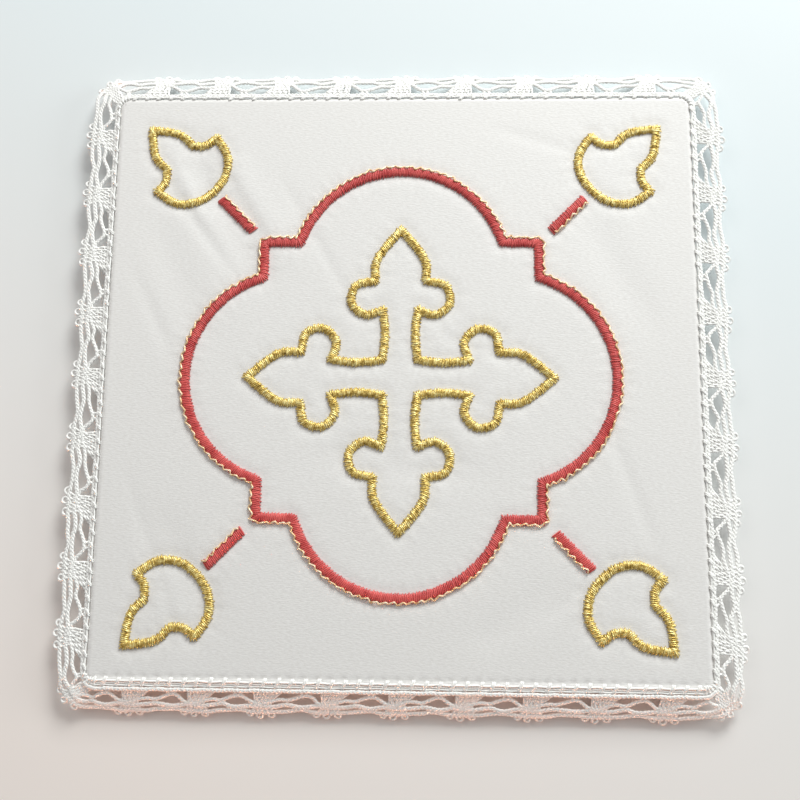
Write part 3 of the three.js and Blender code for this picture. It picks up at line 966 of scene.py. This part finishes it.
def satin_bed(line, closed, width):
    """The solid ground of crossed threads under the stitches, which no cloth shows through."""
    centres = resampled(line, BED_STEP, closed)
    if not closed:
        pull = unit(centres[1] - centres[0]) * BED_INSET
        centres[0] += pull
        centres[-1] -= pull
    across, longer = across_line(centres, closed, spread=1)
    rings = []
    for side, up in BED_SECTION:
        plan = centres + across * (side * width * longer)[:, None]
        z = face_height(plan[:, 0], plan[:, 1]) + up
        rings.append(np.concatenate([plan, z[:, None]], axis=1))
    points = np.stack(rings, axis=1)
    count, sides = points.shape[:2]
    ids = np.arange(count * sides).reshape(count, sides)
    following = np.roll(ids, -1, axis=0)
    if not closed:
        ids, following = ids[:-1], following[:-1]
    walls = np.stack(
        [ids, following, np.roll(following, -1, axis=1), np.roll(ids, -1, axis=1)], axis=-1
    )
    faces = [tuple(face) for face in walls.reshape(-1, 4).tolist()]
    if not closed:
        faces.append(tuple(range(sides)))
        faces.append(tuple(range(count * sides - 1, (count - 1) * sides - 1, -1)))
    return points.reshape(-1, 3), faces


def satin_piece(name, line, closed, width, looseness, material, seed):
    """A line of satin stitch: the bed and the stitches over it."""
    rng = np.random.default_rng(seed)
    stitches = satin_stitches(line, closed, width, looseness, rng)
    points, faces = joined([satin_bed(line, closed, width), stitches])
    return mesh_object(name, points, faces, material)


def zigzag_edging(name, line, closed, material, seed):
    """A thin uneven zigzag of gold thread along the outer edge of a red band."""
    rng = np.random.default_rng(seed)
    centres = resampled(line, ZIGZAG_PITCH / 2, closed)
    across, longer = across_line(centres, closed, spread=2)
    inner = np.arange(len(centres)) % 2 == 0
    offset = np.where(inner, ZIGZAG_INNER, ZIGZAG_OUTER)
    offset = offset + rng.normal(size=len(centres)) * ZIGZAG_UNEVENNESS
    along = np.stack([across[:, 1], -across[:, 0]], axis=1)
    plan = centres - across * (offset * longer)[:, None]
    plan += along * np.where(inner, ZIGZAG_INNER_SHIFT, ZIGZAG_OUTER_SHIFT)[:, None]
    plan += rng.normal(size=plan.shape) * ZIGZAG_SHAKE
    rise = np.where(inner, ZIGZAG_INNER_RISE, ZIGZAG_OUTER_RISE)
    z = face_height(plan[:, 0], plan[:, 1]) + rise
    knots = np.concatenate([plan, z[:, None]], axis=1)
    if closed:
        knots = np.vstack([knots, knots[:1]])
    path = resampled(knots, ZIGZAG_STEP)
    points, faces = tubes(path[None], (0, 0, 1), ZIGZAG_RADIUS, sides=STITCH_SIDES)
    return mesh_object(name, points, faces, material)


# Finishes

def new_material(name, color, roughness):
    """A new material, its node tree and its shader. The colour shows where nodes don't run."""
    material = bpy.data.materials.new(name)
    material.use_nodes = True
    shader = material.node_tree.nodes["Principled BSDF"]
    shader.inputs["Base Color"].default_value = (*color, 1)
    shader.inputs["Roughness"].default_value = roughness
    return material, material.node_tree, shader


def noise(tree, stretch, detail=2.0, turn=0.0):
    """A noise texture in the object's own coordinates, with its detail per metre along each
    axis."""
    place = tree.nodes.new("ShaderNodeTexCoord")
    mapping = tree.nodes.new("ShaderNodeMapping")
    mapping.inputs["Scale"].default_value = stretch
    mapping.inputs["Rotation"].default_value = (0, 0, turn)
    texture = tree.nodes.new("ShaderNodeTexNoise")
    texture.inputs["Scale"].default_value = 1
    texture.inputs["Detail"].default_value = detail
    tree.links.new(place.outputs["Object"], mapping.inputs["Vector"])
    tree.links.new(mapping.outputs["Vector"], texture.inputs["Vector"])
    return texture.outputs["Fac"]


def color_ramp(tree, shader, fac, stops):
    """Colours the shader by a ramp of (place, colour) stops."""
    ramp = tree.nodes.new("ShaderNodeValToRGB")
    elements = ramp.color_ramp.elements
    while len(elements) < len(stops):
        elements.new(0.5)
    for element, (place, color) in zip(elements, stops):
        element.position = place
        element.color = (*color, 1)
    tree.links.new(fac, ramp.inputs["Fac"])
    tree.links.new(ramp.outputs["Color"], shader.inputs["Base Color"])


def bump(tree, shader, layers):
    """Stacks bump layers given as (height, strength, distance in millimetres)."""
    normal = None
    for height, strength, distance in layers:
        node = tree.nodes.new("ShaderNodeBump")
        node.inputs["Strength"].default_value = strength
        node.inputs["Distance"].default_value = distance * MM
        tree.links.new(height, node.inputs["Height"])
        if normal is not None:
            tree.links.new(normal, node.inputs["Normal"])
        normal = node.outputs["Normal"]
    tree.links.new(normal, shader.inputs["Normal"])


def cloth_material():
    """White cloth with a fine wavy grain."""
    material, tree, shader = new_material("white_satin_cloth", (0.86, 0.85, 0.84), 0.55)
    shader.inputs["Sheen Weight"].default_value = 0.12
    shader.inputs["Sheen Roughness"].default_value = 0.4
    grain = noise(tree, (1000, 3000, 600), 2, turn=0.12)
    slubs = noise(tree, (420, 1300, 300), 2, turn=-0.1)
    threads = noise(tree, (4200, 4200, 4200), 1)
    color_ramp(tree, shader, grain, [(0.3, (0.8, 0.78, 0.76)), (0.7, (0.885, 0.87, 0.852))])
    bump(tree, shader, [(slubs, 0.35, 0.05), (grain, 0.6, 0.07), (threads, 0.3, 0.03)])
    return material


def cotton_material():
    """Matte white cotton thread."""
    material, tree, shader = new_material("white_cotton_thread", (0.96, 0.95, 0.93), 0.85)
    shader.inputs["Sheen Weight"].default_value = 0.3
    fibres = noise(tree, (5200, 5200, 5200), 3)
    color_ramp(tree, shader, fibres, [(0.3, (0.94, 0.93, 0.9)), (0.7, (0.99, 0.985, 0.965))])
    bump(tree, shader, [(fibres, 0.6, 0.07)])
    return material


def red_material():
    """Red thread with a soft sheen, a little uneven in tone."""
    material, tree, shader = new_material("red_rayon_thread", (0.7, 0.06, 0.07), 0.42)
    shader.inputs["Sheen Weight"].default_value = 0.25
    shader.inputs["Sheen Tint"].default_value = (1, 0.6, 0.6, 1)
    patches = noise(tree, (420, 420, 420), 2)
    fibres = noise(tree, (5200, 5200, 5200), 2)
    color_ramp(tree, shader, patches, [(0.3, (0.54, 0.05, 0.05)), (0.7, (0.77, 0.13, 0.118))])
    bump(tree, shader, [(fibres, 0.5, 0.05)])
    return material


def gold_material(name, dark, middle, bright, metallic):
    """Gold thread with dark and bright flecks."""
    material, tree, shader = new_material(name, middle, 0.4)
    shader.inputs["Metallic"].default_value = metallic
    flecks = noise(tree, (1100, 1100, 1100), 2)
    fibres = noise(tree, (3600, 3600, 3600), 1)
    color_ramp(tree, shader, flecks, [(0.33, dark), (0.49, middle), (0.63, bright)])
    bump(tree, shader, [(fibres, 0.6, 0.06)])
    return material


# Floor, light and camera

def floor():
    """A pale surface with painted light: warmer near and cooler far, for the colour of the
    light there.
    """
    data = bpy.data.meshes.new("floor")
    half = FLOOR_HALF
    corners = [(-half, -half, 0), (half, -half, 0), (half, half, 0), (-half, half, 0)]
    data.from_pydata(corners, [], [(0, 1, 2, 3)])
    material, tree, shader = new_material("pale_floor", (0.8, 0.8, 0.8), 0.75)
    place = tree.nodes.new("ShaderNodeTexCoord")
    along = tree.nodes.new("ShaderNodeVectorMath")
    along.operation = "DOT_PRODUCT"
    along.inputs[1].default_value = FLOOR_DIRECTION
    shift = tree.nodes.new("ShaderNodeMath")
    shift.operation = "ADD"
    shift.inputs[1].default_value = FLOOR_SHIFT
    tree.links.new(place.outputs["Object"], along.inputs[0])
    tree.links.new(along.outputs["Value"], shift.inputs[0])
    # The ramp paints the light's colour on the floor: warm near, cool far.
    color_ramp(tree, shader, shift.outputs["Value"], FLOOR_PAINTED_LIGHT_STOPS)
    data.materials.append(material)
    made = bpy.data.objects.new("floor", data)
    bpy.context.scene.collection.objects.link(made)


def area_light(name, place, power, width, height, color):
    """A rectangular lamp turned to the middle of the floor, and hidden from the camera."""
    data = bpy.data.lights.new(name, "AREA")
    data.energy = power
    data.shape = "RECTANGLE"
    data.size = width
    data.size_y = height
    data.color = color
    lamp = bpy.data.objects.new(name, data)
    lamp.visible_camera = False
    lamp.location = place
    lamp.rotation_mode = "QUATERNION"
    lamp.rotation_quaternion = (-Vector(place)).to_track_quat("-Z", "Y")
    bpy.context.scene.collection.objects.link(lamp)
    return lamp


def light():
    """Soft light all round, the lamps and the warm strip."""
    world = bpy.data.worlds.new("studio")
    world.use_nodes = True
    background = world.node_tree.nodes["Background"]
    background.inputs["Color"].default_value = WORLD_COLOR
    background.inputs["Strength"].default_value = WORLD_STRENGTH
    bpy.context.scene.world = world
    for lamp in LAMPS:
        area_light(*lamp)
    warm = area_light(*WARM_LAMP)
    warm.visible_glossy = False
    warm.data.spread = math.radians(WARM_SPREAD)


def camera():
    """The camera at the photograph's viewing angle."""
    azimuth, elevation = math.radians(CAMERA_AZIMUTH), math.radians(CAMERA_ELEVATION)
    back = Vector(
        (
            math.sin(azimuth) * math.cos(elevation),
            -math.cos(azimuth) * math.cos(elevation),
            math.sin(elevation),
        )
    )
    right = Vector((math.cos(azimuth), math.sin(azimuth), 0))
    upward = back.cross(right)
    roll = math.radians(CAMERA_ROLL)
    rolled_right = math.cos(roll) * right + math.sin(roll) * upward
    rolled_up = -math.sin(roll) * right + math.cos(roll) * upward
    data = bpy.data.cameras.new("camera")
    data.sensor_width = SENSOR_WIDTH
    data.lens = CAMERA_LENS
    data.clip_start = 0.01
    made = bpy.data.objects.new("camera", data)
    place = ORIGIN + (Vector(CAMERA_TARGET) + back * CAMERA_DISTANCE) * MM
    made.matrix_world = Matrix(
        [(*row, place[i]) for i, row in enumerate(zip(rolled_right, rolled_up, back))]
        + [(0, 0, 0, 1)]
    )
    bpy.context.scene.collection.objects.link(made)
    bpy.context.scene.camera = made


# The pieces in their places

def dress(piece, slot, *nodes):
    """Puts a piece on the body, in place of the nodes it covers. Its slot is not used."""
    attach(piece, "root")
    if nodes:
        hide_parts(*nodes)
    return piece


def embroidery():
    """The red bands with their zigzags, then the gold bands."""
    red = red_material()
    gold = gold_material(
        "gold_metallic_thread", (0.46, 0.3, 0.065), (0.84, 0.63, 0.2), (1, 0.86, 0.4), 0.6
    )
    pale_gold = gold_material(
        "pale_gold_thread", (0.62, 0.36, 0.16), (1, 0.72, 0.42), (1, 0.88, 0.66), 0.2
    )
    pieces = []
    for index, (line, closed) in enumerate(RED_LINES):
        form, ending = ("stem", f"_{index}") if index else ("quatrefoil", "")
        satin = f"{form}_satin{ending}"
        piece = satin_piece(satin, line, closed, RED_WIDTH, 1, red, RED_SEED + index)
        pieces.append(dress(piece, "red_thread", f"{form}_stitching{ending}"))
        zigzag = f"{form}_zigzag{ending}"
        piece = zigzag_edging(zigzag, line, closed, pale_gold, ZIGZAG_SEED + index)
        pieces.append(dress(piece, "gold_thread"))

    for index, (line, closed) in enumerate(GOLD_LINES):
        form, ending = ("leaf", f"_{index}") if index else ("cross", "")
        satin = f"{form}_satin{ending}"
        seed = GOLD_SEED + index
        piece = satin_piece(satin, line, closed, GOLD_WIDTH, GOLD_LOOSENESS, gold, seed)
        pieces.append(dress(piece, "gold_thread", f"{form}_stitching{ending}"))
    return pieces


def pall():
    """The whole object, with all that is sewn to the stretched cloth."""
    cotton = cotton_material()
    cover = dress(cloth_cover(cloth_material()), "cloth", "cloth_square")
    sewn = [dress(lace_side(side, cotton), "lace", "lace_edging") for side in range(4)]
    sewn.append(dress(seam_stitches(cotton), "lace"))
    sewn += embroidery()


camera()
floor()
light()
pall()
bpy.context.scene.view_settings.view_transform = "Standard"
